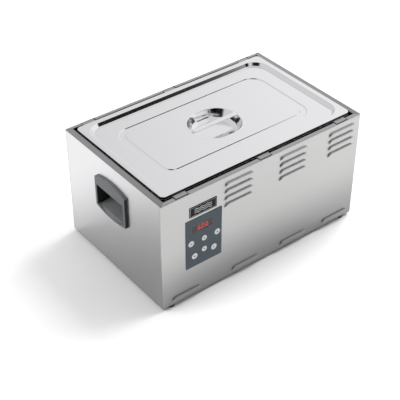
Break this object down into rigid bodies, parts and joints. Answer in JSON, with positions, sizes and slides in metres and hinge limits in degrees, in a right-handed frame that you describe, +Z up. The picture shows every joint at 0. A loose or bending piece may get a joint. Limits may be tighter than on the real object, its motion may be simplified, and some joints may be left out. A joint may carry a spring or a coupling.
{
  "type": "sous vide water bath",
  "caption": "Countertop heated water bath: stainless box with a deep gastronorm tank, lift-off lid with a bowl handle, round keys, red display and a cup handle in each end.",
  "frame": {"origin": "centre of the footprint, on the surface the feet stand on", "axes": "+X along the long side to the right, +Y from the control side to the back, +Z up"},
  "size_m": [0.578, 0.368, 0.2944],
  "materials": {
    "casing_steel": "satin rolled stainless",
    "inner_steel": "plain",
    "tank_steel": "satin",
    "lid_steel": "bright rolled stainless",
    "black_rubber": "matte",
    "handle_plastic": "fine moulded texture",
    "overlay_grey": "satin printed film",
    "display_lens": "smoked",
    "display_black": "matte",
    "display_red": "lit",
    "key_white": "satin",
    "badge_black": "gloss",
    "board_green": "solder mask",
    "switch_plastic": "moulded",
    "wool": "mineral wool",
    "heater_silicone": "silicone",
    "sink_aluminium": "satin",
    "core_iron": "varnished",
    "pin_brass": "plated"
  },
  "bodies": {
    "casing": {"badge": "badge_black", "base_plate": "casing_steel", "board_screws": "inner_steel", "board_standoffs": "inner_steel", "bottom_grid": "inner_steel", "bottom_insulation": "wool", "control_board": "board_green", "control_frame": "overlay_grey", "control_lead": "black_rubber", "control_overlay": "overlay_grey", "corner_angles": "inner_steel", "display_digits": "display_red", "display_module": "display_black", "display_window": "display_lens", "equipment_tray": "inner_steel", "foot_screws": "inner_steel", "front_insulation": "wool", "front_panel": "casing_steel", "hanger_tabs": "casing_steel", "heat_sink": "sink_aluminium", "heater_leads": "black_rubber", "heater_mat": "heater_silicone", "indicator_lamp": "display_red", "inlet_pins": "pin_brass", "inlet_screws": "inner_steel", "left_handle": "handle_plastic", "left_panel": "casing_steel", "mains_lead": "black_rubber", "power_inlet": "switch_plastic", "pressure_plate": "inner_steel", "probe_gland": "inner_steel", "rating_plate": "sink_aluminium", "rear_insulation": "wool", "rear_panel": "casing_steel", "right_handle": "handle_plastic", "right_panel": "casing_steel", "rim_seal": "black_rubber", "rubber_feet": "black_rubber", "safety_thermostat": "switch_plastic", "solid_state_relay": "switch_plastic", "tact_switches": "switch_plastic", "tank": "tank_steel", "tank_rails": "inner_steel", "temperature_probe": "inner_steel", "terminal_block": "switch_plastic", "transformer": "core_iron"},
    "lid": {"lid_sheet": "lid_steel", "lid_strap": "lid_steel"},
    "key_upper_left_body": {"key_upper_left": "key_white"},
    "key_up_body": {"key_up": "key_white"},
    "key_upper_right_body": {"key_upper_right": "key_white"},
    "key_lower_left_body": {"key_lower_left": "key_white"},
    "key_down_body": {"key_down": "key_white"},
    "key_lower_right_body": {"key_lower_right": "key_white"}
  },
  "joints": [
    {"name": "lid_lift", "type": "slide", "parent": "casing", "child": "lid", "axis": [0, 0, 1], "range_m": [0, 0.2]},
    {"name": "key_upper_left_press", "type": "slide", "parent": "casing", "child": "key_upper_left_body", "axis": [0, 1, 0], "range_m": [0, 0.0004], "stiffness_N_per_m": 4000},
    {"name": "key_up_press", "type": "slide", "parent": "casing", "child": "key_up_body", "axis": [0, 1, 0], "range_m": [0, 0.0004], "stiffness_N_per_m": 4000},
    {"name": "key_upper_right_press", "type": "slide", "parent": "casing", "child": "key_upper_right_body", "axis": [0, 1, 0], "range_m": [0, 0.0004], "stiffness_N_per_m": 4000},
    {"name": "key_lower_left_press", "type": "slide", "parent": "casing", "child": "key_lower_left_body", "axis": [0, 1, 0], "range_m": [0, 0.0004], "stiffness_N_per_m": 4000},
    {"name": "key_down_press", "type": "slide", "parent": "casing", "child": "key_down_body", "axis": [0, 1, 0], "range_m": [0, 0.0004], "stiffness_N_per_m": 4000},
    {"name": "key_lower_right_press", "type": "slide", "parent": "casing", "child": "key_lower_right_body", "axis": [0, 1, 0], "range_m": [0, 0.0004], "stiffness_N_per_m": 4000}
  ]
}
